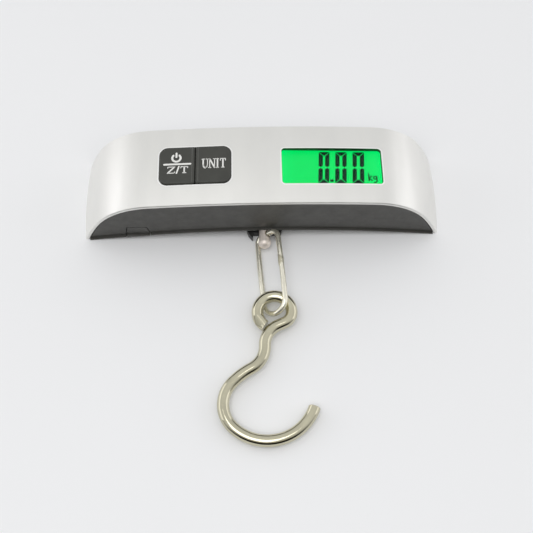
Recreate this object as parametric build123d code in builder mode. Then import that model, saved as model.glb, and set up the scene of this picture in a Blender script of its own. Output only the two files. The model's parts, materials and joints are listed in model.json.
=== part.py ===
from build123d import *
import os
from math import asin, cos, degrees, radians, sin, sqrt, tan

os.makedirs("parts", exist_ok=True)

# A hand-held digital luggage scale: an arched grip with a display and two keys on its crown,
# and a swivelling link and hook that fold out from under its middle.
# Millimetres. X runs along the grip, +Y to the back, +Z up. The grip stands on its two ends
# on Z = 0, with the origin under its middle, and the hook lies folded forward, towards -Y.

# ---------------------------------------------------------------- arched cover
arch_height = 24.35
crown_radius, crown_turn = 553.0, 4.06
shoulder_radius, shoulder_turn = 24.7, 53.84
flank_radius, flank_turn = 63.7, 11.5
skirt_length = 4.0
cover_depth = 31.14
cover_sheet = 1.0
cover_camber = 0.8
cover_edge_break = 0.22

# ---------------------------------------------------------------- chassis and underside
shell_gap = 0.4
chassis_inset = cover_sheet + shell_gap
chassis_wall = 1.8
chassis_depth = 30.6
cavity_depth = 27.4
belly_rise = 5.0
belly_reach = 61.0
belly_radius = (belly_reach**2 + belly_rise**2) / (2 * belly_rise)
floor_sheet = 1.8
lip_height = 0.8
lip_depth = 32.0
lip_chamfer = 0.25
tab_width, tab_depth, tab_x = 11.0, 1.0, 20.3
hang_opening_width, hang_opening_front, hang_opening_back = 15.2, -13.2, 6.6
lip_notch_x, lip_notch_width, lip_notch_height = 2.0, 7.4, 0.6
through = 60.0

# ---------------------------------------------------------------- display
lcd_x, lcd_y = 24.73, -1.15
lcd_tilt = 2.8
window_length, window_width, window_corner = 34.9, 14.1, 1.2
ledge_length, ledge_width = 35.4, 15.2
lens_length, lens_width, lens_sheet, lens_top, lens_shift = 37.4, 17.0, 0.9, 22.9, 0.5
gasket_sheet, gasket_land = 0.3, 1.0
glass_length, glass_width, glass_sheet, glass_drop = 38.4, 18.4, 1.6, 1.87
glass_shift = 1.4
backlight_sheet = 1.5
pin_count, pin_pitch, pin_thick = 14, 2.2, 0.4

# ---------------------------------------------------------------- keys
keypad_x, keypad_y = -22.7, -0.25
keypad_length, keypad_width, keypad_corner = 25.1, 15.0, 3.0
keypad_tilt = degrees(asin(-keypad_x / crown_radius))
key_gap, key_clearance, key_top, key_round = 0.2, 0.15, 25.2, 0.5
flange_top, flange_sheet, flange_reach = 20.95, 0.8, 0.8
plunger_radius, plunger_bottom = 1.5, 17.65

# ---------------------------------------------------------------- circuit board
board_bottom, board_sheet, board_width = 15.0, 1.2, 25.0
board_start, board_end = -38.0, 46.0
board_top = board_bottom + board_sheet
board_posts = [(-34.5, 10.8), (-34.5, -10.8), (1.0, 10.8), (1.0, -10.8)]
post_radius, screw_radius = 1.7, 0.8
housing_screw_places = [(-29.5, 11.2), (-29.5, -11.2), (49.0, 9.0), (49.0, -9.0)]
column_radius = 2.2
board_notch_radius = 2.7

# ---------------------------------------------------------------- load cell
cell_start, cell_end = -6.0, 36.0
cell_width, cell_bottom, cell_top = 12.0, 7.6, 14.2
cell_hole_radius, cell_hole_x = 2.5, (11.4, 19.4)
fixed_bolt_x = (27.0, 33.0)
bolt_radius, bolt_head_radius, bolt_head_height = 1.5, 2.7, 1.8
wire_radius = 0.35

# ---------------------------------------------------------------- hanger
hang_x = 0.95
pin_y, pin_z, pin_radius = -2.0, 3.45, 1.5
ear_radius, ear_sheet, ear_inner = 2.4, 1.4, 3.6
clevis_sheet = 1.3
clevis_screw_y, clevis_screw_spread = 3.5, 2.7
pin_half_length = 6.2
clip_sheet, clip_radius = 0.6, 2.4
barrel_half = 3.4
yoke_half, yoke_bottom, yoke_top = 4.4, 0.9, 5.3
yoke_back, pocket_back, pocket_front, yoke_front = -4.9, -5.2, -7.2, -12.0
pocket_half = 2.4
fork_y, fork_radius, fork_top, fork_bottom = -12.9, 6.5, 3.1, 0.35
fork_slot_half, fork_slot_back, neck_clearance = 4.2, -15.7, 0.15
post_tail_radius, post_tail_end = 1.2, -5.6
post_radius_neck, post_neck_end = 1.95, -19.5
post_head_radius, post_head_rim = 2.3, 0.5
retainer_y, retainer_sheet, retainer_radius = -6.4, 0.7, 2.1
running_clearance = 0.05

# ---------------------------------------------------------------- link and hook
link_wire = 0.95
link_cross_y, link_offset = -17.15, 1.25
link_roll, link_yaw = 41.5, 4.5
link_corner_radius, link_end_radius = 2.7, 4.8
link_leg_radius, link_leg_length = 400.0, 23.4
post_hole_radius = 1.4
hook_wire = 2.05
hook_low_y, hook_low_z, hook_pitch = -91.3, 2.06, 2.47
ring_x, ring_y, ring_radius = 3.82, 44.15, 5.9
ring_turn, ring_start, eye_tip_turn, eye_gap = 234.0, 236.0, 43.3, 0.12
neck_bends = [(4.17, -68.13), (2.72, 0), (7.57, 67.12), (8.67, -63.69)]
shank_bends = [(25.0, 18.8), (10.57, 91.3), (16.6, 113.0)]
hook_end_chamfer = 0.35

# ---------------------------------------------------------------- battery
battery_x, battery_y, battery_radius = -45.0, -1.5, 10.0
battery_bottom, battery_height = 6.0, 3.2
well_inner, well_outer, well_bottom, well_roof, well_roof_sheet = 10.4, 11.8, 5.5, 10.4, 1.2
door_start, door_end, door_front, door_back = -56.5, -33.5, -13.0, 9.6
door_sheet, door_gap = 1.5, 0.25
finger_start, finger_end, finger_waist, finger_top, finger_taper = -48.7, -40.4, 4.4, 7.8, 0.8
finger_sheet = 1.4
door_hinge_y, door_hinge_z, door_knuckle_radius = 11.0, 1.0, 0.9
door_knuckle_x, door_knuckle_width = (-54.3, -48.5), 3.0
contact_sheet = 0.3


def arch_curves(inset):
    """Right half of the arch line, drawn in from the cover's outer line by inset."""
    crown = JernArc((0, arch_height - inset), (1, 0), crown_radius - inset, -crown_turn)
    shoulder = JernArc(crown @ 1, crown % 1, shoulder_radius - inset, -shoulder_turn)
    flank = JernArc(shoulder @ 1, shoulder % 1, flank_radius - inset, -flank_turn)
    return Line(flank @ 1, flank @ 1 + (flank % 1) * skirt_length)


def arch_face(inset):
    """The whole area under the arch line, in the XZ plane."""
    with BuildSketch(Plane.XZ) as face:
        with BuildLine():
            skirt = arch_curves(inset)
            Polyline(skirt @ 1, (0, (skirt @ 1).Y), (0, arch_height - inset))
        make_face()
        mirror(about=Plane.YZ)
    return face.sketch


def belly_z(x, lift=0.0):
    """Height of the arched underside at x, or of a surface that is lift above it."""
    return belly_rise - belly_radius + sqrt((belly_radius + lift) ** 2 - x**2)


def belly_face(lift):
    """The area below the arched underside, raised by lift, in the XZ plane."""
    reach = belly_reach + 8
    with BuildSketch(Plane.XZ) as face:
        with BuildLine():
            ends = belly_z(reach, lift)
            arc = ThreePointArc((-reach, ends), (0, belly_rise + lift), (reach, ends))
            Polyline(arc @ 1, (reach, -20), (-reach, -20), arc @ 0)
        make_face()
    return face.sketch


def tilted_plane(x, y, z, tilt):
    """A level plane turned about Y, so that it rises towards +X by tilt degrees."""
    rise = radians(tilt)
    return Plane(origin=(x, y, z), x_dir=(cos(rise), 0, sin(rise)), z_dir=(-sin(rise), 0, cos(rise)))


def lcd_plane(drop, shift=0.0):
    """Plane of the display stack, drop below the lens's top and shifted back by shift."""
    return tilted_plane(lcd_x, lcd_y + shift, lens_top, -lcd_tilt).offset(-drop)


# ================================================================ top cover
with BuildPart() as top_cover:
    with BuildLine(Plane.XZ):
        arch_curves(0)
    crown_plane = Plane(origin=(0, 0, arch_height), x_dir=(0, 1, 0), z_dir=(1, 0, 0))
    with BuildSketch(crown_plane) as cover_section:
        with BuildLine():
            outer = ThreePointArc((-cover_depth / 2, 0), (0, cover_camber), (cover_depth / 2, 0))
            inner = ThreePointArc(
                (-cover_depth / 2, -cover_sheet),
                (0, cover_camber - cover_sheet),
                (cover_depth / 2, -cover_sheet),
            )
            Line(outer @ 0, inner @ 0)
            Line(outer @ 1, inner @ 1)
        make_face()
        chamfer(cover_section.vertices().group_by(Axis.Y)[-1], cover_edge_break)
    sweep()
    split(bisect_by=Plane.XY, keep=Keep.TOP)
    mirror(about=Plane.YZ)
    with BuildSketch(Plane.XY.offset(arch_height + 4)):
        with Locations((lcd_x, lcd_y)):
            RectangleRounded(window_length, window_width, window_corner)
        with Locations((keypad_x, keypad_y)):
            RectangleRounded(keypad_length, keypad_width, keypad_corner)
    extrude(amount=-12, mode=Mode.SUBTRACT)

top_cover.part.label = "top_cover"
export_step(top_cover.part, "parts/top_cover.step")

# ================================================================ upper chassis


def finger_face(grow, depth):
    """Outline of the door's finger tab, grown all round by grow, in the plane Y = -depth."""
    with BuildSketch(Plane.XZ.offset(depth)) as face:
        with BuildLine():
            Polyline(
                (finger_start - grow, -1),
                (finger_end + grow, -1),
                (finger_end + grow, finger_waist),
                (finger_end + grow - finger_taper, finger_top + grow),
                (finger_start - grow + finger_taper, finger_top + grow),
                (finger_start - grow, finger_waist),
                close=True,
            )
        make_face()
    return face.sketch


with BuildPart() as upper_chassis:
    with Locations(
        [(x, y, arch_height) for x in (-tab_x, tab_x) for y in (-chassis_depth / 2, chassis_depth / 2)]
    ):
        Box(tab_width, 2 * tab_depth, 8)
    extrude(arch_face(cover_sheet + 0.05), amount=chassis_depth / 2, both=True, mode=Mode.INTERSECT)
    extrude(arch_face(chassis_inset), amount=chassis_depth / 2, both=True)
    extrude(arch_face(chassis_inset + chassis_wall), amount=cavity_depth / 2, both=True, mode=Mode.SUBTRACT)
    # battery well: a roof across the cavity with a round wall below it
    with Locations(((door_start + door_end) / 2, 0, well_roof + well_roof_sheet / 2)):
        Box(door_end - door_start, cavity_depth + 1, well_roof_sheet)
    with BuildSketch(Plane.XY.offset(well_bottom)):
        with Locations((battery_x, battery_y)):
            Circle(well_outer)
            Circle(well_inner, mode=Mode.SUBTRACT)
        with Locations((battery_x, battery_y + well_inner)):
            Rectangle(8, 4, mode=Mode.SUBTRACT)
    extrude(amount=well_roof - well_bottom)
    # slots in the roof for the two contacts' legs
    with BuildSketch(Plane.XY.offset(well_roof - 1)):
        with Locations((-37.5, battery_y), (battery_x, battery_y + battery_radius + 0.3)):
            Rectangle(3.5, 3.5)
    extrude(amount=well_roof_sheet + 2, mode=Mode.SUBTRACT)
    # display: an opening, the lens recess from above and the panel's pocket from below
    with BuildSketch(lcd_plane(-4, lens_shift)):
        RectangleRounded(ledge_length, ledge_width, window_corner)
    extrude(amount=-12, mode=Mode.SUBTRACT)
    with BuildSketch(lcd_plane(lens_sheet + gasket_sheet, lens_shift)):
        Rectangle(lens_length + 0.4, lens_width + 0.4)
    extrude(amount=6, mode=Mode.SUBTRACT)
    with BuildSketch(lcd_plane(glass_drop - 0.06, glass_shift)):
        Rectangle(glass_length + 0.4, glass_width + 0.4)
    extrude(amount=-5, mode=Mode.SUBTRACT)
    # keys: one opening, and a pocket for their flanges
    with BuildSketch(Plane.XY.offset(arch_height + 4)):
        with Locations((keypad_x, keypad_y)):
            RectangleRounded(keypad_length + 0.1, keypad_width + 0.1, keypad_corner)
    extrude(amount=-12, mode=Mode.SUBTRACT)
    with BuildSketch(tilted_plane(keypad_x, keypad_y, flange_top + 0.15, keypad_tilt)):
        Rectangle(keypad_length + 2 * flange_reach + 0.6, keypad_width + 2 * flange_reach + 0.6)
    extrude(amount=-5, mode=Mode.SUBTRACT)
    # posts for the board and columns for the housing screws
    with BuildSketch(Plane.XY.offset(board_top)):
        with Locations(board_posts):
            Circle(post_radius)
    extrude(amount=21.3 - board_top)
    for x, y in housing_screw_places:
        column_foot = belly_z(x) + floor_sheet + 1.5
        with Locations((x, y, column_foot)):
            Cylinder(column_radius, 17.6 - column_foot, align=(Align.CENTER, Align.CENTER, Align.MIN))
    with Locations([(x, y, 20.5) for x, y in housing_screw_places[:2]]):
        Cylinder(column_radius, 6.0, align=(Align.CENTER, Align.CENTER, Align.MAX))
    with Locations([(x, y, board_top + 4.2) for x, y in board_posts]):
        Cylinder(screw_radius + 0.03, 12, align=(Align.CENTER, Align.CENTER, Align.MAX), mode=Mode.SUBTRACT)
    with Locations([(x, y, belly_z(x) + 9.3) for x, y in housing_screw_places]):
        Cylinder(1.03, 12, align=(Align.CENTER, Align.CENTER, Align.MAX), mode=Mode.SUBTRACT)
    # arched lower edge, and the gap in the front wall for the door's finger tab
    extrude(belly_face(floor_sheet), amount=through, both=True, mode=Mode.SUBTRACT)
    extrude(finger_face(door_gap, cavity_depth / 2 - 1), amount=4, mode=Mode.SUBTRACT)

upper_chassis.part.label = "upper_chassis"
export_step(upper_chassis.part, "parts/upper_chassis.step")

# ================================================================ bottom housing
with BuildPart() as bottom_housing:
    extrude(belly_face(lip_height), amount=lip_depth / 2, both=True)
    extrude(belly_face(floor_sheet), amount=chassis_depth / 2, both=True)
    extrude(belly_face(0), amount=through, both=True, mode=Mode.SUBTRACT)
    extrude(arch_face(chassis_inset), amount=through, both=True, mode=Mode.INTERSECT)
    split(bisect_by=Plane.XY, keep=Keep.TOP)
    # pad under the load cell's fixed end
    pad_x = sum(fixed_bolt_x) / 2
    with Locations((pad_x, 0, cell_bottom)):
        Box(12, cell_width, cell_bottom - belly_z(pad_x) - 1, align=(Align.CENTER, Align.CENTER, Align.MAX))
    # bosses round the housing screws
    for x, y in housing_screw_places:
        with Locations((x, y, belly_z(x) + 1)):
            Cylinder(column_radius, floor_sheet + 0.5, align=(Align.CENTER, Align.CENTER, Align.MIN))
    # holes and head recesses for both kinds of screw
    with Locations([(x, 0, belly_z(x) + 2.9) for x in fixed_bolt_x]):
        Cylinder(bolt_head_radius + 0.1, 8, align=(Align.CENTER, Align.CENTER, Align.MAX), mode=Mode.SUBTRACT)
    with Locations([(x, 0, cell_bottom) for x in fixed_bolt_x]):
        Cylinder(bolt_radius + 0.05, 12, mode=Mode.SUBTRACT)
    with Locations([(x, y, belly_z(x) + 1.5) for x, y in housing_screw_places]):
        Cylinder(2.0, 8, align=(Align.CENTER, Align.CENTER, Align.MAX), mode=Mode.SUBTRACT)
    with Locations([(x, y, belly_z(x)) for x, y in housing_screw_places]):
        Cylinder(1.05, 12, mode=Mode.SUBTRACT)
    # openings for the hanger and for the battery door with its finger tab and hinge hooks
    with BuildSketch(Plane.XY.offset(-1)):
        with Locations((hang_x, (hang_opening_front + hang_opening_back) / 2)):
            RectangleRounded(hang_opening_width, hang_opening_back - hang_opening_front, 1.5)
        with Locations(((door_start + door_end) / 2, (door_front + door_back) / 2)):
            Rectangle(door_end - door_start + 2 * door_gap, door_back - door_front + 2 * door_gap)
        with Locations([(x, door_hinge_y) for x in door_knuckle_x]):
            Rectangle(door_knuckle_width + 2 * door_gap, 2.6)
    extrude(amount=8, mode=Mode.SUBTRACT)
    extrude(finger_face(door_gap, -door_front - 0.5), amount=5, mode=Mode.SUBTRACT)
    # relief in the front lip over the post and the link
    with Locations((lip_notch_x, -lip_depth / 2, belly_rise)):
        Box(lip_notch_width, 6, 2 * lip_notch_height, mode=Mode.SUBTRACT)
    lip_edges = [
        edge
        for edge in bottom_housing.edges()
        if abs((edge @ 0.5).Y) > lip_depth / 2 - 0.01
        and edge.length > 5
        and (edge @ 0.5).Z < belly_z((edge @ 0.5).X, lip_height / 2)
    ]
    chamfer(lip_edges, lip_chamfer)

bottom_housing.part.label = "bottom_housing"
export_step(bottom_housing.part, "parts/bottom_housing.step")

# ================================================================ battery door
with BuildPart() as battery_door:
    extrude(belly_face(door_sheet), amount=chassis_depth / 2, both=True)
    with BuildSketch(Plane.XY.offset(-1)):
        with Locations(((door_start + door_end) / 2, (door_front + door_back) / 2)):
            Rectangle(door_end - door_start, door_back - door_front)
        with Locations(((finger_start + finger_end) / 2, door_front)):
            Rectangle(finger_end - finger_start, 8)
    extrude(amount=12, mode=Mode.INTERSECT)
    finger_wall = finger_face(0, chassis_depth / 2 - finger_sheet)
    extrude(finger_wall, amount=finger_sheet)
    with Locations(((finger_start + finger_end) / 2, door_front, 0)):
        lip_size = lip_depth / 2 + door_front
        Box(
            finger_end - finger_start,
            lip_size,
            belly_z((finger_start + finger_end) / 2, lip_height),
            align=(Align.CENTER, Align.MAX, Align.MIN),
        )
    extrude(belly_face(0), amount=through, both=True, mode=Mode.SUBTRACT)
    # hinge hooks along the rear edge
    with Locations([(x, door_hinge_y, door_hinge_z) for x in door_knuckle_x]):
        Cylinder(door_knuckle_radius, door_knuckle_width, rotation=(0, 90, 0))
    with Locations([(x, (door_back + door_hinge_y) / 2 - 0.2, 1.4) for x in door_knuckle_x]):
        Box(door_knuckle_width, door_hinge_y - door_back + 0.4, 2.0)

battery_door.part.label = "battery_door"
export_step(battery_door.part, "parts/battery_door.step")

# ================================================================ display
with BuildPart() as display_lens:
    with BuildSketch(lcd_plane(0, lens_shift)):
        RectangleRounded(lens_length, lens_width, window_corner)
    extrude(amount=-lens_sheet)

display_lens.part.label = "display_lens"
export_step(display_lens.part, "parts/display_lens.step")

with BuildPart() as lens_gasket:
    with BuildSketch(lcd_plane(lens_sheet, lens_shift)):
        RectangleRounded(lens_length, lens_width, window_corner)
        RectangleRounded(lens_length - 2 * gasket_land, lens_width - 2 * gasket_land, 0.5, mode=Mode.SUBTRACT)
    extrude(amount=-gasket_sheet)

lens_gasket.part.label = "lens_gasket"
export_step(lens_gasket.part, "parts/lens_gasket.step")

with BuildPart() as lcd_panel:
    with BuildSketch(lcd_plane(glass_drop, glass_shift)):
        Rectangle(glass_length, glass_width)
    extrude(amount=-glass_sheet)

lcd_panel.part.label = "lcd_panel"
export_step(lcd_panel.part, "parts/lcd_panel.step")

with BuildPart() as lcd_backlight:
    with BuildSketch(lcd_plane(glass_drop + glass_sheet, glass_shift)):
        Rectangle(glass_length, glass_width)
    extrude(amount=-backlight_sheet)

lcd_backlight.part.label = "lcd_backlight"
export_step(lcd_backlight.part, "parts/lcd_backlight.step")

with BuildPart() as backlight_leds:
    with Locations([(3.4, y, board_top) for y in (-4.0, 5.2)]):
        Box(1.8, 3.2, 2.0, align=(Align.CENTER, Align.CENTER, Align.MIN))

backlight_leds.part.label = "backlight_leds"
export_step(backlight_leds.part, "parts/backlight_leds.step")

# contact pins down the panel's front edge, each a flat strip that stands in the board
pin_row_y = lcd_y + glass_shift - glass_width / 2 - 0.05
with BuildPart() as lcd_pins:
    for step in range(pin_count):
        x = lcd_x + (step - (pin_count - 1) / 2) * pin_pitch
        top = lens_top - glass_drop - glass_sheet / 2 - (x - lcd_x) * tan(radians(lcd_tilt))
        with Locations((x, pin_row_y, board_top)):
            Box(0.6, pin_thick, top - board_top, align=(Align.CENTER, Align.MAX, Align.MIN))

lcd_pins.part.label = "lcd_pins"
export_step(lcd_pins.part, "parts/lcd_pins.step")

# ================================================================ circuit board
with BuildPart() as circuit_board:
    with BuildSketch(Plane.XY.offset(board_bottom)):
        with Locations(((board_start + board_end) / 2, 0)):
            RectangleRounded(board_end - board_start, board_width, 1.0)
        with Locations(housing_screw_places):
            Circle(board_notch_radius, mode=Mode.SUBTRACT)
        with Locations(board_posts):
            Circle(screw_radius + 0.1, mode=Mode.SUBTRACT)
    extrude(amount=board_sheet)

circuit_board.part.label = "circuit_board"
export_step(circuit_board.part, "parts/circuit_board.step")

with BuildPart() as main_chip:
    with Locations((-17.0, 0.0, board_bottom)):
        Box(8.0, 8.0, 1.1, align=(Align.CENTER, Align.CENTER, Align.MAX))
    chamfer(main_chip.faces().sort_by(Axis.Z)[0].edges(), 0.3)

main_chip.part.label = "main_chip"
export_step(main_chip.part, "parts/main_chip.step")

with BuildPart() as board_components:
    with Locations((-26.0, 0.0, board_bottom)):
        with GridLocations(2.4, 3.0, 2, 5):
            Box(1.6, 0.9, 0.6, align=(Align.CENTER, Align.CENTER, Align.MAX))
    with Locations((-9.5, 4.5, board_bottom)):
        Cylinder(1.5, 3.4, rotation=(0, 90, 0), align=(Align.MIN, Align.CENTER, Align.CENTER))

board_components.part.label = "board_components"
export_step(board_components.part, "parts/board_components.step")

key_pitch = (keypad_length - 2 * key_clearance + key_gap) / 2
key_places = [(keypad_x - key_pitch / 2, keypad_y), (keypad_x + key_pitch / 2, keypad_y)]
with BuildPart() as tact_switches:
    with Locations([(x, y, board_top) for x, y in key_places]):
        Box(6.0, 6.0, 0.5, align=(Align.CENTER, Align.CENTER, Align.MIN))
        Cylinder(1.7, 0.9, align=(Align.CENTER, Align.CENTER, Align.MIN))

tact_switches.part.label = "tact_switches"
export_step(tact_switches.part, "parts/tact_switches.step")


# ================================================================ keys
def key_solid(side):
    """One key: a cap with round outer corners, a flange under the chassis and a plunger."""
    cap_length = (keypad_length - 2 * key_clearance - key_gap) / 2
    cap_width = keypad_width - 2 * key_clearance
    x = keypad_x + side * key_pitch / 2
    with BuildPart() as key:
        with BuildSketch(tilted_plane(keypad_x, keypad_y, key_top, keypad_tilt)) as cap:
            with Locations((side * key_pitch / 2, 0)):
                Rectangle(cap_length, cap_width)
            fillet(cap.vertices().sort_by(Axis.X, reverse=side > 0)[:2], keypad_corner - key_clearance)
            fillet(cap.vertices().sort_by(Axis.X, reverse=side < 0)[:2], 0.5)
        extrude(amount=flange_top - flange_sheet - key_top)
        fillet(key.faces().sort_by(Axis.Z)[-1].edges(), key_round)
        with BuildSketch(tilted_plane(keypad_x, keypad_y, flange_top, keypad_tilt)):
            with Locations((side * (key_pitch / 2 + flange_reach / 2), 0)):
                Rectangle(cap_length + flange_reach, cap_width + 2 * flange_reach)
        extrude(amount=-flange_sheet)
        with Locations((x, keypad_y, plunger_bottom)):
            plunger_length = flange_top - plunger_bottom - 0.3
            Cylinder(plunger_radius, plunger_length, align=(Align.CENTER, Align.CENTER, Align.MIN))
    return key.part


with BuildPart() as power_button:
    add(key_solid(-1))

power_button.part.label = "power_button"
export_step(power_button.part, "parts/power_button.step")

with BuildPart() as unit_button:
    add(key_solid(1))

unit_button.part.label = "unit_button"
export_step(unit_button.part, "parts/unit_button.step")

# ================================================================ load cell
# A bar held at its right end and loaded at its left end, thinned between by two joined holes.
with BuildPart() as load_cell:
    with BuildSketch(Plane.XZ) as bar:
        with Locations(((cell_start + cell_end) / 2, (cell_bottom + cell_top) / 2)):
            Rectangle(cell_end - cell_start, cell_top - cell_bottom)
        with Locations([(x, (cell_bottom + cell_top) / 2) for x in cell_hole_x]):
            Circle(cell_hole_radius, mode=Mode.SUBTRACT)
        with Locations((sum(cell_hole_x) / 2, (cell_bottom + cell_top) / 2)):
            Rectangle(cell_hole_x[1] - cell_hole_x[0], 1.6, mode=Mode.SUBTRACT)
    extrude(amount=cell_width / 2, both=True)
    with Locations([(x, 0, cell_top) for x in fixed_bolt_x]):
        Cylinder(bolt_radius + 0.02, 20, mode=Mode.SUBTRACT)
    with Locations([(hang_x + side * clevis_screw_spread, clevis_screw_y, cell_bottom) for side in (-1, 1)]):
        Cylinder(1.02, 9, mode=Mode.SUBTRACT)
    chamfer(load_cell.edges().filter_by(Axis.Y).group_by(Axis.X)[0], 0.4)

load_cell.part.label = "load_cell"
export_step(load_cell.part, "parts/load_cell.step")

with BuildPart() as strain_gauges:
    for x in cell_hole_x:
        with Locations((x, 0, cell_top)):
            Box(4.0, 5.0, 0.25, align=(Align.CENTER, Align.CENTER, Align.MIN))
        with Locations((x, 0, cell_bottom)):
            Box(4.0, 5.0, 0.25, align=(Align.CENTER, Align.CENTER, Align.MAX))

strain_gauges.part.label = "strain_gauges"
export_step(strain_gauges.part, "parts/strain_gauges.step")

with BuildPart() as gauge_sealant:
    with Locations(((cell_hole_x[0] + cell_hole_x[1]) / 2, -cell_width / 2, (cell_bottom + cell_top) / 2)):
        Box(9.0, 0.9, 5.2, align=(Align.CENTER, Align.MAX, Align.CENTER))
    fillet(gauge_sealant.edges().filter_by(Axis.Y), 0.8)

gauge_sealant.part.label = "gauge_sealant"
export_step(gauge_sealant.part, "parts/gauge_sealant.step")

# four leads from the sealed gauges along the bar and up to the board's underside
with BuildPart() as load_cell_wires:
    for step in range(4):
        lead_z = 9.2 + 1.1 * step
        lead_end = -12.6 + 1.1 * step
        lead_y = -cell_width / 2 - 0.45
        lead_start = cell_hole_x[0] - 0.5
        with BuildLine() as lead:
            FilletPolyline(
                (lead_start, lead_y, lead_z),
                (lead_end, lead_y, lead_z),
                (lead_end, lead_y, board_bottom),
                radius=1.6,
            )
        with BuildSketch(Plane(origin=lead.line @ 0, z_dir=lead.line % 0)):
            Circle(wire_radius)
        sweep()

load_cell_wires.part.label = "load_cell_wires"
export_step(load_cell_wires.part, "parts/load_cell_wires.step")

with BuildPart() as load_cell_bolts:
    for x in fixed_bolt_x:
        seat = belly_z(x) + 2.9
        with Locations((x, 0, seat)):
            Cylinder(bolt_head_radius, bolt_head_height, align=(Align.CENTER, Align.CENTER, Align.MAX))
            Cylinder(bolt_radius, cell_top - 0.6 - seat, align=(Align.CENTER, Align.CENTER, Align.MIN))
        with BuildSketch(Plane.XY.offset(seat - bolt_head_height)):
            with Locations((x, 0)):
                RegularPolygon(1.4, 6)
        extrude(amount=1.0, mode=Mode.SUBTRACT)

load_cell_bolts.part.label = "load_cell_bolts"
export_step(load_cell_bolts.part, "parts/load_cell_bolts.step")

# ================================================================ hanger clevis, pin and clips
with BuildPart() as hanger_clevis:
    with Locations((hang_x, 0, cell_bottom)):
        Box(2 * (ear_inner + ear_sheet), 11.6, clevis_sheet, align=(Align.CENTER, Align.CENTER, Align.MAX))
    for side in (-1, 1):
        with BuildSketch(Plane.YZ.offset(hang_x + side * (ear_inner + ear_sheet / 2))):
            with Locations((pin_y, pin_z)):
                Circle(ear_radius)
            with Locations((pin_y, (pin_z + cell_bottom - clevis_sheet / 2) / 2)):
                Rectangle(2 * ear_radius, cell_bottom - clevis_sheet / 2 - pin_z)
            with Locations((pin_y, pin_z)):
                Circle(pin_radius + running_clearance / 2, mode=Mode.SUBTRACT)
        extrude(amount=ear_sheet / 2, both=True)
    with Locations([(hang_x + side * clevis_screw_spread, clevis_screw_y, cell_bottom) for side in (-1, 1)]):
        Cylinder(1.1, 6, mode=Mode.SUBTRACT)

hanger_clevis.part.label = "hanger_clevis"
export_step(hanger_clevis.part, "parts/hanger_clevis.step")

with BuildPart() as clevis_screws:
    with Locations(
        [(hang_x + side * clevis_screw_spread, clevis_screw_y, cell_bottom - clevis_sheet) for side in (-1, 1)]
    ):
        Cylinder(1.9, 1.2, align=(Align.CENTER, Align.CENTER, Align.MAX))
        Cylinder(1.0, 5.0, align=(Align.CENTER, Align.CENTER, Align.MIN))
        with Locations((0, 0, -1.2)):
            Box(2.6, 0.5, 1.0, mode=Mode.SUBTRACT)

clevis_screws.part.label = "clevis_screws"
export_step(clevis_screws.part, "parts/clevis_screws.step")

with BuildPart() as hanger_pin:
    with BuildSketch(Plane.YZ.offset(hang_x)):
        with Locations((pin_y, pin_z)):
            Circle(pin_radius)
    extrude(amount=pin_half_length, both=True)
    chamfer(hanger_pin.faces().filter_by(Axis.X).edges(), 0.25)

hanger_pin.part.label = "hanger_pin"
export_step(hanger_pin.part, "parts/hanger_pin.step")

with BuildPart() as pin_clips:
    for side in (-1, 1):
        clip_x = hang_x + side * (ear_inner + ear_sheet + 0.05 + clip_sheet / 2)
        with BuildSketch(Plane.YZ.offset(clip_x)):
            with Locations((pin_y, pin_z)):
                Circle(clip_radius)
                Circle(pin_radius, mode=Mode.SUBTRACT)
            with Locations((pin_y, pin_z + clip_radius)):
                Rectangle(1.6, 2 * clip_radius - 0.6, mode=Mode.SUBTRACT)
        extrude(amount=clip_sheet / 2, both=True)

pin_clips.part.label = "pin_clips"
export_step(pin_clips.part, "parts/pin_clips.step")

# ================================================================ yoke
# The dark swivel head: a barrel on the pin, a block for the post's tail and a rounded fork.
with BuildPart() as hanger_yoke:
    with BuildSketch(Plane.YZ.offset(hang_x)):
        with Locations((pin_y, pin_z)):
            Circle(ear_radius - 0.1)
    extrude(amount=barrel_half, both=True)
    with BuildSketch(Plane.XY.offset(yoke_bottom)):
        with Locations((hang_x, (pin_y + yoke_back) / 2 - 0.3)):
            Rectangle(2 * barrel_half, pin_y - yoke_back + 0.6)
        with Locations((hang_x, (yoke_back + yoke_front) / 2)):
            Rectangle(2 * yoke_half, yoke_back - yoke_front)
    extrude(amount=yoke_top - yoke_bottom)
    with BuildSketch(Plane.XY.offset(fork_bottom)):
        with Locations((hang_x, fork_y)):
            Circle(fork_radius)
        with Locations((hang_x, fork_slot_back - 10)):
            Rectangle(2 * fork_slot_half, 20, mode=Mode.SUBTRACT)
        with Locations((hang_x, yoke_front + 10)):
            Rectangle(20, 20 - 2 * (yoke_front - fork_y), mode=Mode.SUBTRACT)
    extrude(amount=fork_top - fork_bottom)
    with Locations((hang_x, (pocket_back + pocket_front) / 2, pin_z)):
        Box(2 * pocket_half, pocket_back - pocket_front, 8, mode=Mode.SUBTRACT)
    with BuildSketch(Plane.YZ.offset(hang_x)):
        with Locations((pin_y, pin_z)):
            Circle(pin_radius + running_clearance)
    extrude(amount=8, both=True, mode=Mode.SUBTRACT)
    with BuildSketch(Plane.XZ.offset(-pocket_front - 1)):
        with Locations((hang_x, pin_z)):
            Circle(post_tail_radius + running_clearance)
    extrude(amount=10, mode=Mode.SUBTRACT)
    with BuildSketch(Plane.XZ.offset(-yoke_front)):
        with Locations((hang_x, pin_z)):
            Circle(post_radius_neck + neck_clearance)
    extrude(amount=10, mode=Mode.SUBTRACT)

hanger_yoke.part.label = "hanger_yoke"
export_step(hanger_yoke.part, "parts/hanger_yoke.step")

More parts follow.
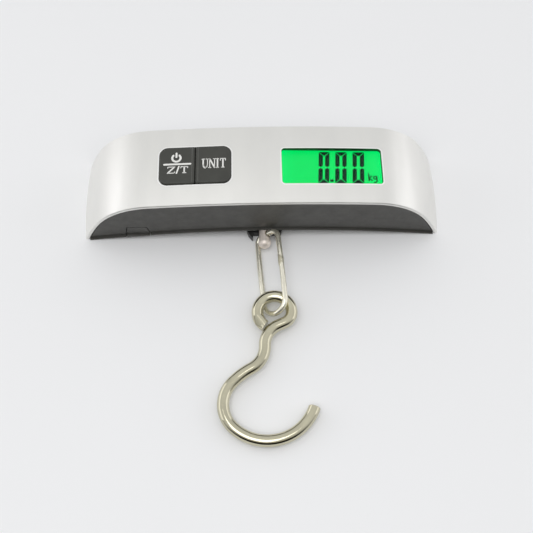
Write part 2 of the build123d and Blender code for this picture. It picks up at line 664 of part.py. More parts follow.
# ================================================================ link plane
# The link is flat and passes through the post's axis. Local x runs from its low leg to its
# high leg, local y back towards the body.
roll, yaw = radians(link_roll), radians(link_yaw)
link_across = Vector(cos(roll) * cos(yaw), cos(roll) * sin(yaw), sin(roll))
link_along = Vector(-sin(yaw), cos(yaw), 0)
link_cross = (hang_x, link_cross_y, pin_z)
link_plane = Plane(origin=link_cross, x_dir=link_across, z_dir=link_across.cross(link_along))

with BuildPart() as swivel_post:
    with BuildSketch(Plane.XZ.offset(-post_tail_end)):
        with Locations((hang_x, pin_z)):
            Circle(post_tail_radius)
    extrude(amount=post_tail_end - yoke_front + 0.05)
    with BuildSketch(Plane.XZ.offset(-yoke_front + 0.05)):
        with Locations((hang_x, pin_z)):
            Circle(post_radius_neck)
    extrude(amount=yoke_front - post_neck_end - 0.05)
    with BuildSketch(Plane.YZ.offset(hang_x)):
        with BuildLine():
            rim = post_neck_end - post_head_rim
            tip = rim - post_head_radius
            Line((post_neck_end, pin_z), (post_neck_end, pin_z + post_head_radius))
            Line((post_neck_end, pin_z + post_head_radius), (rim, pin_z + post_head_radius))
            RadiusArc((rim, pin_z + post_head_radius), (tip, pin_z), -post_head_radius)
            Line((tip, pin_z), (post_neck_end, pin_z))
        make_face()
    revolve(axis=Axis((hang_x, 0, pin_z), (0, 1, 0)))
    with BuildSketch(Plane(origin=link_cross, z_dir=link_across)):
        Circle(post_hole_radius)
    extrude(amount=4.5, both=True, mode=Mode.SUBTRACT)

swivel_post.part.label = "swivel_post"
export_step(swivel_post.part, "parts/swivel_post.step")

with BuildPart() as post_retainer:
    with BuildSketch(Plane.XZ.offset(-retainer_y)):
        with Locations((hang_x, pin_z)):
            Circle(retainer_radius)
            Circle(post_tail_radius, mode=Mode.SUBTRACT)
    extrude(amount=retainer_sheet)

post_retainer.part.label = "post_retainer"
export_step(post_retainer.part, "parts/post_retainer.step")

# ================================================================ connecting link
# A closed wire oblong with a flatter end through the post and a round end through the hook's
# eye, joined by two slightly bowed legs.
bow = degrees(asin(link_leg_length / (2 * link_leg_radius)))
flat_half = (link_end_radius - link_corner_radius) * cos(radians(bow))
with BuildPart() as connecting_link:
    with BuildLine(link_plane) as link_path:
        flat_start = Line((link_offset, 0), (link_offset + flat_half, 0))
        high_corner = JernArc(flat_start @ 1, (1, 0), link_corner_radius, bow - 90)
        high_leg = JernArc(high_corner @ 1, high_corner % 1, link_leg_radius, -2 * bow)
        foot = JernArc(high_leg @ 1, high_leg % 1, link_end_radius, 2 * bow - 180)
        low_leg = JernArc(foot @ 1, foot % 1, link_leg_radius, -2 * bow)
        low_corner = JernArc(low_leg @ 1, low_leg % 1, link_corner_radius, bow - 90)
        Line(low_corner @ 1, flat_start @ 0)
    with BuildSketch(Plane(origin=link_path.line @ 0, z_dir=link_path.line % 0)):
        Circle(link_wire)
    sweep()

connecting_link.part.label = "connecting_link"
export_step(connecting_link.part, "parts/connecting_link.step")

# ================================================================ hook
# One bent rod: an eye, a doubly curved shank and a wide bend that ends in a flat cut. The eye's
# own tip is cut to lie along the shank, a little clear of it.
pitch = radians(hook_pitch)
hook_plane = Plane(origin=(0, hook_low_y, hook_low_z), x_dir=(1, 0, 0), z_dir=(0, -sin(pitch), cos(pitch)))


def hook_rod(turned, bends, radius):
    """Rod of that radius, starting at the point that is turned degrees round the eye.

    Each of its bends is a radius and an angle; with an angle of 0 it is a straight run that long.
    """
    angle = radians(ring_start - turned)
    with BuildPart() as rod:
        with BuildLine(hook_plane) as path:
            here = (ring_x + ring_radius * cos(angle), ring_y + ring_radius * sin(angle))
            heading = (sin(angle), -cos(angle))
            for size, arc in bends:
                if arc:
                    run = JernArc(here, heading, size, arc)
                else:
                    run = Line(here, here + heading * size)
                here, heading = run @ 1, run % 1
        with BuildSketch(Plane(origin=path.line @ 0, z_dir=path.line % 0)):
            Circle(radius)
        sweep()
    return rod.part


eye_tip = hook_rod(0, [(ring_radius, -eye_tip_turn)], hook_wire)
shank_clearance = hook_rod(ring_turn, neck_bends, hook_wire + eye_gap)
rest_of_eye = [(ring_radius, eye_tip_turn - ring_turn)]
eye_and_shank = hook_rod(eye_tip_turn, rest_of_eye + neck_bends + shank_bends, hook_wire)
with BuildPart() as hook:
    add(eye_tip)
    add(shank_clearance, mode=Mode.SUBTRACT)
    add(eye_and_shank)
    tip_face = hook.faces().filter_by(GeomType.PLANE).sort_by(Axis.X)[-1]
    chamfer(tip_face.edges(), hook_end_chamfer)

hook.part.label = "hook"
export_step(hook.part, "parts/hook.step")

# ================================================================ battery and contacts
with BuildPart() as coin_cell:
    with Locations((battery_x, battery_y, battery_bottom)):
        Cylinder(battery_radius, battery_height, align=(Align.CENTER, Align.CENTER, Align.MIN))
    fillet(coin_cell.edges().filter_by(GeomType.CIRCLE), 0.35)

coin_cell.part.label = "coin_cell"
export_step(coin_cell.part, "parts/coin_cell.step")

with BuildPart() as battery_contact_negative:
    contact_z = battery_bottom + battery_height + 0.1
    with Locations((-43.0, battery_y, contact_z)):
        Box(12.0, 3.0, contact_sheet, align=(Align.CENTER, Align.CENTER, Align.MIN))
    with Locations((-37.4, battery_y, contact_z)):
        Box(contact_sheet, 3.0, board_bottom - contact_z, align=(Align.CENTER, Align.CENTER, Align.MIN))

battery_contact_negative.part.label = "battery_contact_negative"
export_step(battery_contact_negative.part, "parts/battery_contact_negative.step")

with BuildPart() as battery_contact_positive:
    side_y = battery_y + battery_radius + 0.05
    shelf_z = well_roof + well_roof_sheet + 0.4
    with Locations((battery_x, side_y, battery_bottom + 0.4)):
        blade = shelf_z - battery_bottom - 0.4 + contact_sheet
        Box(3.0, contact_sheet, blade, align=(Align.CENTER, Align.MIN, Align.MIN))
    with Locations((battery_x - 1.5, side_y, shelf_z)):
        Box(9.5, 3.0, contact_sheet, align=(Align.MIN, Align.MIN, Align.MIN))
    with Locations((battery_x + 7.7, side_y, shelf_z)):
        Box(contact_sheet, 3.0, board_bottom - shelf_z, align=(Align.MIN, Align.MIN, Align.MIN))

battery_contact_positive.part.label = "battery_contact_positive"
export_step(battery_contact_positive.part, "parts/battery_contact_positive.step")

# ================================================================ screws
with BuildPart() as housing_screws:
    for x, y in housing_screw_places:
        with Locations((x, y, belly_z(x) + 1.5)):
            Cylinder(1.9, 1.1, align=(Align.CENTER, Align.CENTER, Align.MAX))
            Cylinder(1.0, 7.5, align=(Align.CENTER, Align.CENTER, Align.MIN))
        with Locations((x, y, belly_z(x) + 0.4)):
            Box(2.4, 0.5, 1.0, mode=Mode.SUBTRACT)
            Box(0.5, 2.4, 1.0, mode=Mode.SUBTRACT)

housing_screws.part.label = "housing_screws"
export_step(housing_screws.part, "parts/housing_screws.step")

with BuildPart() as board_screws:
    with Locations([(x, y, board_bottom) for x, y in board_posts]):
        Cylinder(1.6, 1.0, align=(Align.CENTER, Align.CENTER, Align.MAX))
        Cylinder(screw_radius, board_sheet + 4.0, align=(Align.CENTER, Align.CENTER, Align.MIN))
    with Locations([(x, y, board_bottom - 1.0) for x, y in board_posts]):
        Box(2.0, 0.45, 0.8, mode=Mode.SUBTRACT)

board_screws.part.label = "board_screws"
export_step(board_screws.part, "parts/board_screws.step")
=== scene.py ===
"""Looks of the luggage scale: materials, printed marks, display figures, light and camera."""
import json
from math import atan2, cos, pi, radians, sin
from random import Random

import bmesh
import bpy
from mathutils import Matrix, Vector


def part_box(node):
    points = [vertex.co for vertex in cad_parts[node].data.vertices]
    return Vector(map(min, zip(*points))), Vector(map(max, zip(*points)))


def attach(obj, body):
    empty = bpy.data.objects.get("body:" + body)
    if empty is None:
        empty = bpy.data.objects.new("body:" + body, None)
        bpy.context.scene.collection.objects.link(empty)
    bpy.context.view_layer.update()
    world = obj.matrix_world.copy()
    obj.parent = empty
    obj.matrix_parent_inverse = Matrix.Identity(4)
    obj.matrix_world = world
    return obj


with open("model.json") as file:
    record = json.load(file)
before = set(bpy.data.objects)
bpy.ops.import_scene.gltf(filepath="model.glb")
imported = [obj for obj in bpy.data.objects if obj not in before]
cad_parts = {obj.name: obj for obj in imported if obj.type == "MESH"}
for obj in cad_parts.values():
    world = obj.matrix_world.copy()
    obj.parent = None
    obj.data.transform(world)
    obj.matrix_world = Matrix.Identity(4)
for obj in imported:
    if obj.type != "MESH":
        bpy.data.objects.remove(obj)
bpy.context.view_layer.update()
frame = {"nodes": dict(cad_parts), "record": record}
nodes = frame["nodes"]
MM = 0.001

# ---------------------------------------------------------------- material building


class Surface:
    """One procedural material, with short ways to add the detail that its finish needs."""

    def __init__(self, name, color, metallic=0.0, roughness=0.5, **sockets):
        self.material = bpy.data.materials.new(name)
        self.material.use_nodes = True
        self.tree = self.material.node_tree
        self.shader = self.tree.nodes["Principled BSDF"]
        self.color = color
        self.roughness = roughness
        self.height = None
        self.set("Base Color", (*color, 1))
        self.set("Metallic", metallic)
        self.set("Roughness", roughness)
        for socket, value in sockets.items():
            self.set(socket.replace("_", " "), value)

    def set(self, socket, value):
        self.shader.inputs[socket].default_value = value

    def node(self, kind, **values):
        made = self.tree.nodes.new(kind)
        for key, value in values.items():
            if key in made.inputs:
                made.inputs[key].default_value = value
            else:
                setattr(made, key, value)
        return made

    def link(self, source, target):
        self.tree.links.new(source, target)

    def place(self, stretch=(1, 1, 1)):
        """Object coordinates in metres, scaled by stretch."""
        coords = self.node("ShaderNodeTexCoord")
        mapping = self.node("ShaderNodeMapping")
        mapping.inputs["Scale"].default_value = stretch
        self.link(coords.outputs["Object"], mapping.inputs["Vector"])
        return mapping.outputs["Vector"]

    def noise(self, scale, detail=4.0, stretch=(1, 1, 1), rough=0.55):
        made = self.node("ShaderNodeTexNoise", Scale=scale, Detail=detail, Roughness=rough)
        self.link(self.place(stretch), made.inputs["Vector"])
        return made.outputs["Fac"]

    def ramp(self, source, stops):
        made = self.node("ShaderNodeValToRGB")
        band = made.color_ramp
        while len(band.elements) < len(stops):
            band.elements.new(0.5)
        for element, (position, color) in zip(band.elements, stops):
            element.position = position
            element.color = (*color, 1) if len(color) == 3 else color
        self.link(source, made.inputs["Fac"])
        return made.outputs["Color"]

    def mottle(self, scale, spread, stretch=(1, 1, 1), detail=4.0):
        """Base colour varies by plus or minus spread, as a share of itself."""
        dark = tuple(c * (1 - spread) for c in self.color)
        light = tuple(min(1, c * (1 + spread)) for c in self.color)
        tint = self.ramp(self.noise(scale, detail, stretch), [(0.3, dark), (0.7, light)])
        self.link(tint, self.shader.inputs["Base Color"])
        return tint

    def scuff(self, scale, spread, stretch=(1, 1, 1), detail=5.0):
        """Roughness varies by plus or minus spread."""
        low = max(0.02, self.roughness - spread)
        high = min(1, self.roughness + spread)
        value = self.ramp(self.noise(scale, detail, stretch), [(0.3, (low,) * 3), (0.7, (high,) * 3)])
        self.link(value, self.shader.inputs["Roughness"])

    def bump(self, scale, depth_mm, stretch=(1, 1, 1), detail=4.0):
        made = self.node("ShaderNodeBump", Strength=1.0, Distance=depth_mm * MM)
        self.link(self.noise(scale, detail, stretch), made.inputs["Height"])
        if self.height:
            self.link(self.height, made.inputs["Normal"])
        self.height = made.outputs["Normal"]
        self.link(self.height, self.shader.inputs["Normal"])


def moulded(name, color, roughness=0.5, grain=2600, depth_mm=0.02):
    """Fine-grained moulded plastic."""
    made = Surface(name, color, roughness=roughness)
    made.mottle(180, 0.12)
    made.scuff(420, 0.08)
    made.bump(grain, depth_mm, detail=2)
    return made.material


def machined(name, color, roughness=0.3, stretch=(1, 8, 8), metallic=1.0):
    """Turned or milled metal with fine tool lines."""
    made = Surface(name, color, metallic=metallic, roughness=roughness)
    made.mottle(140, 0.06)
    made.scuff(500, 0.1, stretch)
    made.bump(1800, 0.006, stretch, detail=2)
    return made.material


def plated(name, color, roughness=0.12, metallic=1.0):
    """Bright nickel plating over slightly uneven wire."""
    made = Surface(name, color, metallic=metallic, roughness=roughness)
    made.mottle(90, 0.12)
    made.scuff(330, 0.05)
    made.bump(150, 0.09, detail=3)
    made.bump(1500, 0.005, detail=2)
    return made.material


# Places on the body, in mm
LCD_X, LCD_Y, LENS_TOP, LCD_TILT, GLASS_DROP = 24.73, -1.15, 22.9, 2.8, 1.87
KEY_X, KEY_Y, KEY_TOP, KEY_TILT = -22.7, -0.25, 25.2, 2.353
# Openings in the cover, in mm: middle x, middle y, half length, half width, corner radius
OPENINGS = ((LCD_X, LCD_Y, 17.45, 7.05, 1.2), (KEY_X, KEY_Y, 12.55, 7.5, 3.0))
# How far past an opening's outline its shade-painted cut wall and its painted highlight rim reach, in
# mm
WALL_BAND, EDGE_BAND = 0.03, 0.5
# Painted highlight rim round each opening, then painted shade on the cut walls inside them
RIM_HIGHLIGHT, CUT_WALL_SHADE = (0.97, 0.97, 0.95), (0.10, 0.10, 0.095)


def sheet_silver():
    """Satin sheet, brushed along its length.

    The two openings have cut walls painted dark as shade, and a lighter rim round them that is a
    painted highlight of the edge catching the light.
    """
    made = Surface("cover_metal", (0.84, 0.835, 0.805), metallic=0.85, roughness=0.44)
    tint = made.mottle(60, 0.03, (1, 0.4, 1))
    made.scuff(260, 0.07, (1, 0.15, 1))
    made.bump(1900, 0.004, (1, 0.06, 1), detail=2)
    coords = made.node("ShaderNodeTexCoord")
    split = made.node("ShaderNodeSeparateXYZ")
    made.link(coords.outputs["Object"], split.inputs["Vector"])

    def compute(operation, first, second=0.0):
        """One step of arithmetic on sockets or numbers."""
        step = made.node("ShaderNodeMath", operation=operation)
        for socket, value in zip(step.inputs, (first, second)):
            if isinstance(value, float):
                socket.default_value = value
            else:
                made.link(value, socket)
        return step.outputs["Value"]

    def beyond(axis, middle, half, radius):
        """How far a point lies outside the straight part of one side, along one axis."""
        away = compute("ABSOLUTE", compute("SUBTRACT", split.outputs[axis], middle * MM))
        return compute("MAXIMUM", compute("SUBTRACT", away, (half - radius) * MM), 0.0)

    inside = None
    on_highlight_rim = None
    for x, y, half_length, half_width, radius in OPENINGS:
        along = beyond("X", x, half_length, radius)
        across = beyond("Y", y, half_width, radius)
        squares = compute("ADD", compute("POWER", along, 2.0), compute("POWER", across, 2.0))
        reach = compute("SQRT", squares)
        here = compute("LESS_THAN", reach, (radius + WALL_BAND) * MM)
        near = compute("LESS_THAN", reach, (radius + EDGE_BAND) * MM)
        inside = here if inside is None else compute("MAXIMUM", inside, here)
        on_highlight_rim = near if on_highlight_rim is None else compute("MAXIMUM", on_highlight_rim, near)

    def blend(factor, under, over):
        """The colour under, replaced by over where factor is 1."""
        mix = made.node("ShaderNodeMix", data_type="RGBA")
        colors = [socket for socket in mix.inputs if socket.type == "RGBA"]
        made.link(factor, mix.inputs["Factor"])
        made.link(under, colors[0])
        colors[1].default_value = (*over, 1)
        return [socket for socket in mix.outputs if socket.type == "RGBA"][0]

    # Painted highlight: a lighter band just outside each opening
    with_highlight_rims = blend(on_highlight_rim, tint, RIM_HIGHLIGHT)
    # Painted shade: the cut walls inside the openings are coloured near black
    made.link(blend(inside, with_highlight_rims, CUT_WALL_SHADE), made.shader.inputs["Base Color"])
    return made.material


def lit_panel():
    """Lit green panel: brighter at its two ends, where the light enters."""
    low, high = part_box("lcd_panel")
    made = Surface("lcd_green", (0.0, 0.05, 0.02), roughness=0.4, Specular_IOR_Level=0.1)
    coords = made.node("ShaderNodeTexCoord")
    split = made.node("ShaderNodeSeparateXYZ")
    made.link(coords.outputs["Object"], split.inputs["Vector"])
    along = made.node("ShaderNodeMapRange")
    along.inputs["From Min"].default_value = low[0]
    along.inputs["From Max"].default_value = high[0]
    made.link(split.outputs["X"], along.inputs["Value"])
    edge = (0.0, 0.90, 0.17)
    middle = (0.0, 0.79, 0.125)
    stops = [(0.0, edge), (0.17, middle), (0.8, middle), (1.0, edge)]
    tint = made.ramp(along.outputs["Result"], stops)
    made.link(tint, made.shader.inputs["Emission Color"])
    made.mottle(400, 0.2)
    made.set("Emission Strength", 0.95)
    return made.material


def clear_lens():
    """Clear window with a faint gloss, so that the figures under it stay sharp."""
    made = Surface(
        "lens_clear",
        (0.97, 1.0, 0.98),
        roughness=0.05,
        IOR=1.08,
        Transmission_Weight=1.0,
        Coat_Weight=0.15,
        Coat_Roughness=0.06,
    )
    made.scuff(700, 0.02)
    return made.material


def printed():
    """White print of the marks on the keys."""
    made = Surface("print_white", (0.83, 0.83, 0.80), roughness=0.5)
    made.mottle(900, 0.05)
    made.scuff(900, 0.08)
    return made.material


def dark_ink():
    """Dark figures of the display."""
    made = Surface("segment_dark", (0.0, 0.03, 0.012), roughness=0.6, Specular_IOR_Level=0.1)
    made.mottle(900, 0.3)
    return made.material


finishes = {
    "cover_metal": sheet_silver(),
    "dark_plastic": moulded("dark_plastic", (0.056, 0.055, 0.049), 0.4),
    "key_plastic": moulded("key_plastic", (0.043, 0.044, 0.037), 0.5, depth_mm=0.012),
    "lens_clear": clear_lens(),
    "lcd_green": lit_panel(),
    "gasket_foam": moulded("gasket_foam", (0.02, 0.02, 0.02), 0.9, 1500, 0.08),
    "backlight_white": moulded("backlight_white", (0.75, 0.80, 0.76), 0.35),
    "board_green": moulded("board_green", (0.015, 0.13, 0.05), 0.35, 900, 0.01),
    "part_black": moulded("part_black", (0.02, 0.02, 0.02), 0.35),
    "part_mixed": moulded("part_mixed", (0.35, 0.25, 0.15), 0.45),
    "alloy": machined("alloy", (0.72, 0.73, 0.74), 0.35),
    "gauge_foil": moulded("gauge_foil", (0.55, 0.33, 0.08), 0.4),
    "sealant_white": moulded("sealant_white", (0.75, 0.75, 0.71), 0.45, 500, 0.15),
    "wire_red": moulded("wire_red", (0.45, 0.03, 0.02), 0.4),
    "steel_bright": machined("steel_bright", (0.60, 0.60, 0.60), 0.28),
    "steel_dark": machined("steel_dark", (0.035, 0.035, 0.034), 0.42, metallic=0.4),
    # The nickel's warm grey is pushed to olive as a painted reflection of olive surroundings on the
    # wire
    "nickel": plated("nickel", (0.60, 0.57, 0.43), 0.09),
    "cell_steel": machined("cell_steel", (0.76, 0.76, 0.74), 0.25),
    "spring_contact": machined("spring_contact", (0.78, 0.72, 0.52), 0.28),
    "screw_steel": machined("screw_steel", (0.55, 0.55, 0.56), 0.3),
}
# A small round on the outer pieces' sharp edges; the sheet cover's is the larger one
EDGE, SHARP = 0.16 * MM, radians(40)
for name in ("top_cover", "upper_chassis", "bottom_housing", "battery_door", "hanger_yoke"):
    soft = nodes[name].modifiers.new("soft_edge", "BEVEL")
    soft.width = EDGE if name == "top_cover" else EDGE / 2
    soft.segments = 2
    soft.limit_method = "ANGLE"
    soft.angle_limit = SHARP
    soft.harden_normals = True

slots = {part["node"]: part["material_slot"] for part in frame["record"]["subparts"]}
# Lighter, less metallic copies of the plating, as painted light against the body's shade
brightened_finish = {
    "connecting_link": plated("link_nickel_brightened", (0.80, 0.775, 0.655), 0.22, 0.8),
    # The post's pinkish tint is its own colour; its lightness is painted light
    "swivel_post": plated("post_nickel_brightened", (0.82, 0.745, 0.68), 0.45, 0.6),
}
for name, piece in nodes.items():
    piece.data.materials.clear()
    piece.data.materials.append(brightened_finish.get(name, finishes[slots[name]]))

# ---------------------------------------------------------------- flat marks


def prism(faces, name, lift, place):
    """Flat outlines in mm, each made a thin plate of height lift, then put in place."""
    mesh = bpy.data.meshes.new(name)
    shape = bmesh.new()
    for outline in faces:
        top = [shape.verts.new((x, y, lift)) for x, y in outline]
        base = [shape.verts.new((x, y, 0)) for x, y in outline]
        shape.faces.new(top)
        shape.faces.new(base[::-1])
        for step in range(len(outline)):
            after = (step + 1) % len(outline)
            shape.faces.new((base[step], base[after], top[after], top[step]))
    bmesh.ops.recalc_face_normals(shape, faces=shape.faces)
    shape.transform(place @ Matrix.Scale(MM, 4))
    shape.to_mesh(mesh)
    shape.free()
    made = bpy.data.objects.new(name, mesh)
    bpy.context.scene.collection.objects.link(made)
    return made


def capsule(start, end, width):
    """A straight stroke with round ends."""
    (x0, y0), (x1, y1) = start, end
    angle = atan2(y1 - y0, x1 - x0)
    outline = []
    for x, y, first in ((x1, y1, -90), (x0, y0, 90)):
        for turn in range(0, 181, 30):
            a = angle + radians(first + turn)
            outline.append((x + width / 2 * cos(a), y + width / 2 * sin(a)))
    return outline


def strokes(points, width):
    """One stroke along each straight piece of a line."""
    return [capsule(a, b, width) for a, b in zip(points, points[1:])]


def arc_points(x, y, radius, start, end, count):
    """Points along an arc, from its start to its end angle in degrees."""
    turns = [radians(start + (end - start) * step / count) for step in range(count + 1)]
    return [(x + radius * cos(a), y + radius * sin(a)) for a in turns]


def arc_band(cx, cy, radius, start, stop, count, width):
    """A curved stroke of short blocks side by side, none lying over another."""
    inner = arc_points(cx, cy, radius - width / 2, start, stop, count)
    outer = arc_points(cx, cy, radius + width / 2, start, stop, count)
    edges = list(zip(inner, outer))
    return [[a, b, d, c] for (a, b), (c, d) in zip(edges, edges[1:])]


def tilt_place(x, z, degrees_up):
    """Puts flat marks drawn in the row's own x and y on a plane tilted about Y through (x, z)."""
    origin = Vector((x * MM, 0, z * MM))
    turn = Matrix.Rotation(-radians(degrees_up), 4, "Y")
    return Matrix.Translation(origin) @ turn @ Matrix.Translation((-x * MM, 0, 0))


# Marks are plates this high, sunk by SINK so that no gap shows under them, all in mm
MARK_LIFT, RIB_LIFT, SINK = 0.03, 0.045, 0.01
STROKE, THIN, NARROW = 0.52, 0.3, 0.42
white = printed()
on_keys = tilt_place(KEY_X, KEY_TOP - SINK, KEY_TILT)


def letters(text, x, y, width, height, gap):
    """Block letters with small feet, each from a few thick and thin strokes."""
    feet = {
        "U": [((-0.18, 1), (0.34, 1)), ((0.68, 1), (1.18, 1))],
        "N": [((-0.2, 1), (0.1, 1)), ((-0.2, 0), (0.25, 0)), ((0.75, 1), (1.2, 1))],
        "I": [((0.0, 1), (1.0, 1)), ((0.0, 0), (1.0, 0))],
        "T": [((0.25, 0), (0.75, 0)), ((0, 1), (0, 0.8)), ((1, 1), (1, 0.8))],
        "Z": [((0, 1), (0, 0.82)), ((1, 0), (1, 0.2))],
        "/": [],
    }
    thick = {
        "U": [[(0.08, 1), (0.08, 0.3), (0.22, 0.07), (0.5, 0)]],
        "N": [[(0.02, 1), (0.98, 0)]],
        "I": [[(0.5, 1), (0.5, 0)]],
        "T": [[(0.5, 1), (0.5, 0)]],
        "Z": [[(1, 1), (0, 0)]],
        "/": [[(0.1, -0.05), (0.9, 1.05)]],
    }
    thin = {
        "U": [[(0.5, 0), (0.8, 0.08), (0.93, 0.3), (0.93, 1)]],
        "N": [[(0.02, 0), (0.02, 1)], [(0.98, 0), (0.98, 1)]],
        "T": [[(0, 1), (1, 1)]],
        "Z": [[(0, 1), (1, 1)], [(0, 0), (1, 0)]],
    }
    faces = []
    for letter in text:
        wide = width * (NARROW if letter in "I/" else 1)
        lines = [(line, STROKE) for line in thick[letter]]
        lines += [(line, THIN) for line in thin.get(letter, [])]
        lines += [(line, THIN) for line in feet[letter]]
        for line, weight in lines:
            faces += strokes([(x + px * wide, y + py * height) for px, py in line], weight)
        x += wide + gap
    return faces


# A power sign, open at its top, over a bar and the zero and tare letters
SIGN_X, SIGN_Y, SIGN_RADIUS, SIGN_WIDTH, BAR_WIDTH = -29.19, 2.6, 1.45, 0.72, 0.7
power_marks = arc_band(SIGN_X, SIGN_Y, SIGN_RADIUS, 125, 415, 24, SIGN_WIDTH)
power_marks += strokes([(SIGN_X, 3.0), (SIGN_X, 4.5)], BAR_WIDTH)
power_marks += strokes([(-33.4, 0.1), (-24.3, 0.1)], BAR_WIDTH)
power_marks += letters("Z/T", -32.1, -3.4, 2.35, 2.45, 0.6)
unit_marks = letters("UNIT", -20.0, -1.75, 1.75, 3.5, 0.62)
key_marks = (("power_marks", power_marks, "power_key"), ("unit_marks", unit_marks, "unit_key"))
for name, faces, body in key_marks:
    mark = prism(faces, name, MARK_LIFT, on_keys)
    mark.data.materials.append(white)
    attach(mark, body)

# A low rib along each side of the gap between the keys
RIB_FRONT, RIB_BACK, RIB_WIDTH = -7.0, 6.5, 0.22
rib_finish = moulded("key_rib", (0.095, 0.097, 0.088), 0.5)
for name, x, body in (("power_rib", -23.75, "power_key"), ("unit_rib", -21.65, "unit_key")):
    rib = prism(strokes([(x, RIB_FRONT), (x, RIB_BACK)], RIB_WIDTH), name, RIB_LIFT, on_keys)
    rib.data.materials.append(rib_finish)
    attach(rib, body)

# ---------------------------------------------------------------- display figures
# The figures lie this far above the panel, in mm
FIGURE_GAP = 0.01
panel_z = LENS_TOP - GLASS_DROP / cos(radians(LCD_TILT))
on_panel = tilt_place(LCD_X, panel_z + FIGURE_GAP, -LCD_TILT)


def seven_segments(left, right, bottom, top, thick, gap):
    """The six lit bars of a zero: mitred at its corners, pointed where they meet half way."""
    middle = (bottom + top) / 2
    tip = thick / 2
    upper = [
        [
            (left + gap, top),
            (left + thick + gap, top - thick),
            (right - thick - gap, top - thick),
            (right - gap, top),
        ],
        [
            (left, top - gap),
            (left, middle + tip),
            (left + tip, middle + gap),
            (left + thick, middle + tip),
            (left + thick, top - thick - gap),
        ],
    ]
    upper.append([(left + right - x, y) for x, y in upper[1]])
    lower = [[(x, 2 * middle - y) for x, y in outline] for outline in upper]
    return upper + lower


FIGURE_TOP, FIGURE_BOTTOM, LEAN = 6.4, -6.3, 0.06
SEGMENT, SEGMENT_GAP = 1.5, 0.16
figure_faces = []
for left, right in ((20.6, 24.4), (26.5, 30.5), (32.6, 36.7)):
    figure_faces += seven_segments(left, right, FIGURE_BOTTOM, FIGURE_TOP, SEGMENT, SEGMENT_GAP)
# The decimal point
figure_faces.append([(24.75, -5.7), (25.95, -5.7), (25.95, -4.8), (24.75, -4.8)])
# Figures and point lean a little to the right
figure_faces = [[(x + LEAN * (y - FIGURE_TOP), y) for x, y in outline] for outline in figure_faces]
# "kg", upright
UNIT_STROKE, UNIT_THIN = 0.42, 0.4
figure_faces += strokes([(37.7, -2.3), (37.7, -5.1)], UNIT_STROKE)
figure_faces += strokes([(38.7, -3.3), (37.8, -4.2), (38.8, -5.1)], UNIT_STROKE)
figure_faces += strokes(arc_points(39.9, -4.0, 0.55, 0, 360, 12), UNIT_THIN)
figure_faces += strokes([(40.5, -3.4), (40.5, -5.3), (40.1, -5.8), (39.5, -5.8)], UNIT_THIN)
figures = prism(figure_faces, "display_figures", MARK_LIFT, on_panel)
figures.data.materials.append(dark_ink())
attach(figures, "grip")

# ---------------------------------------------------------------- weld on the link
# The link's ends are butt-welded half way up its high leg, which leaves a rough collar.
LINK_CROSS = Vector((0.95, -17.15, 3.45)) * MM
LINK_ROLL, LINK_YAW = radians(41.5), radians(4.5)
link_across = Vector((cos(LINK_ROLL) * cos(LINK_YAW), cos(LINK_ROLL) * sin(LINK_YAW), sin(LINK_ROLL)))
link_along = Vector((-sin(LINK_YAW), cos(LINK_YAW), 0))
LEG_X, WELD_START, WELD_END, WIRE = 6.13, -10.0, -14.4, 0.95
# The collar starts just inside the wire and swells by these amounts, in mm
WELD_SINK, WELD_SWELL, WELD_ROUGH = 0.03, 0.07, 0.09


def weld_seam():
    """A short sleeve of uneven rings round the wire."""
    shape = bmesh.new()
    chance = Random(7)
    rings, sides = 15, 28
    rows = []
    for step in range(rings + 1):
        share = step / rings
        y = WELD_START + (WELD_END - WELD_START) * share
        swell = sin(pi * share) ** 0.5
        centre = LINK_CROSS + link_across * (LEG_X * MM) + link_along * (y * MM)
        row = []
        for side in range(sides):
            turn = 2 * pi * side / sides
            reach = WIRE - WELD_SINK + swell * (WELD_SWELL + WELD_ROUGH * chance.random())
            out = link_across * cos(turn) + link_across.cross(link_along) * sin(turn)
            row.append(shape.verts.new(centre + out * (reach * MM)))
        rows.append(row)
    for low, high in zip(rows, rows[1:]):
        for side in range(sides):
            after = (side + 1) % sides
            shape.faces.new((low[side], low[after], high[after], high[side]))
    shape.faces.new(rows[0][::-1])
    shape.faces.new(rows[-1])
    bmesh.ops.recalc_face_normals(shape, faces=shape.faces)
    for face in shape.faces:
        face.smooth = True
    mesh = bpy.data.meshes.new("weld_seam")
    shape.to_mesh(mesh)
    shape.free()
    made = bpy.data.objects.new("weld_seam", mesh)
    bpy.context.scene.collection.objects.link(made)
    return made


seam = weld_seam()
seam.data.materials.append(plated("weld_metal", (0.54, 0.51, 0.39), 0.38, 0.85))
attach(seam, "link")

# ---------------------------------------------------------------- floor, light and camera
bpy.ops.mesh.primitive_plane_add(size=6)
floor = bpy.context.object
floor.name = "floor"
ground = Surface("floor_white", (0.885, 0.89, 0.90), roughness=0.75)
ground.mottle(3, 0.01)
floor.data.materials.append(ground.material)


def soft_light(name, place, size, power, color=(1, 1, 1), aim=(0, -0.03, 0.01)):
    """A rectangular soft light, turned to face the object."""
    lamp = bpy.data.lights.new(name, "AREA")
    lamp.shape = "RECTANGLE"
    lamp.size, lamp.size_y = size
    lamp.energy = power
    lamp.color = color
    made = bpy.data.objects.new(name, lamp)
    made.location = place
    made.rotation_euler = (Vector(aim) - Vector(place)).to_track_quat("-Z", "Y").to_euler()
    bpy.context.scene.collection.objects.link(made)


soft_light("overhead_light", (-0.15, -0.35, 1.05), (0.7, 0.7), 3.0)
COOL = (0.98, 0.965, 1.0)
soft_light("left_light", (-1.0, 0.2, 0.2), (1.2, 0.9), 2.7, COOL)
soft_light("right_light", (1.0, 0.2, 0.2), (1.2, 0.9), 2.4, COOL)

# An even pale sky, dark low down in front so that bright wire gets its dark streaks
world = bpy.data.worlds.new("studio")
bpy.context.scene.world = world
world.use_nodes = True
sky = world.node_tree
coords = sky.nodes.new("ShaderNodeTexCoord")
split = sky.nodes.new("ShaderNodeSeparateXYZ")
sky.links.new(coords.outputs["Generated"], split.inputs["Vector"])


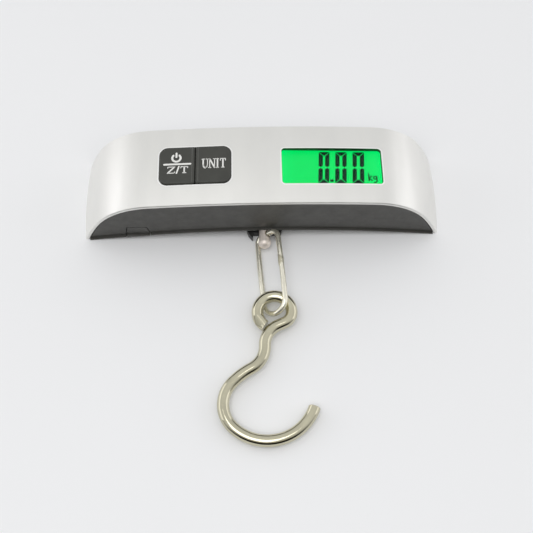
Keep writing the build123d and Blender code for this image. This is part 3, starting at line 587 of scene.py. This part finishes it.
def sky_band(stops):
    """Sky colour by height, from the horizon up."""
    band = sky.nodes.new("ShaderNodeValToRGB")
    sky.links.new(split.outputs["Z"], band.inputs["Fac"])
    while len(band.color_ramp.elements) < len(stops):
        band.color_ramp.elements.new(0.5)
    for element, (position, color) in zip(band.color_ramp.elements, stops):
        element.position = position
        element.color = (*color, 1)
    return band.outputs["Color"]


white_top = (1.0, (1, 1, 1))
pale_stops = [(0.0, (0.30, 0.30, 0.29)), (0.08, (0.62, 0.62, 0.61)), (0.5, (0.86, 0.87, 0.88))]
dark_stops = [(0.0, (0.01, 0.01, 0.01)), (0.5, (0.02, 0.018, 0.016)), (0.64, (0.5, 0.47, 0.40))]
pale = sky_band(pale_stops + [white_top])
dark = sky_band(dark_stops + [white_top])
frontness = sky.nodes.new("ShaderNodeMapRange")
frontness.inputs["From Min"].default_value = -0.35
frontness.inputs["From Max"].default_value = -0.75
sky.links.new(split.outputs["Y"], frontness.inputs["Value"])
mixed = sky.nodes.new("ShaderNodeMix")
mixed.data_type = "RGBA"
sky.links.new(frontness.outputs["Result"], mixed.inputs["Factor"])
color_inputs = [socket for socket in mixed.inputs if socket.type == "RGBA"]
sky.links.new(pale, color_inputs[0])
sky.links.new(dark, color_inputs[1])
color_output = [socket for socket in mixed.outputs if socket.type == "RGBA"][0]
sky.links.new(color_output, sky.nodes["Background"].inputs["Color"])
sky.nodes["Background"].inputs["Strength"].default_value = 0.82
bpy.context.scene.view_settings.view_transform = "Standard"

# The camera stands in front and above, at the viewing angle of the reference photograph.
# Distances are in metres, the focal length in millimetres.
ELEVATION, YAW, ROLL = radians(65), radians(1.3042), radians(-0.1285)
DISTANCE, ACROSS, UP = 0.31282, 0.0020307, -0.0252277
FOCAL = 56.674
turned_x = Vector((cos(YAW), -sin(YAW), 0))
turned_y = Vector((sin(YAW), cos(YAW), 0))
level_up = turned_y * sin(ELEVATION) + Vector((0, 0, cos(ELEVATION)))
towards = -turned_y * cos(ELEVATION) + Vector((0, 0, sin(ELEVATION)))
right = turned_x * cos(ROLL) - level_up * sin(ROLL)
up = turned_x * sin(ROLL) + level_up * cos(ROLL)
lens = bpy.data.cameras.new("camera")
lens.lens = FOCAL
lens.sensor_width = 36
lens.clip_start = 0.01
camera = bpy.data.objects.new("camera", lens)
spot = right * ACROSS + up * UP + towards * DISTANCE
camera.matrix_world = Matrix(
    (
        (right.x, up.x, towards.x, spot.x),
        (right.y, up.y, towards.y, spot.y),
        (right.z, up.z, towards.z, spot.z),
        (0, 0, 0, 1),
    )
)
bpy.context.scene.collection.objects.link(camera)
bpy.context.scene.camera = camera
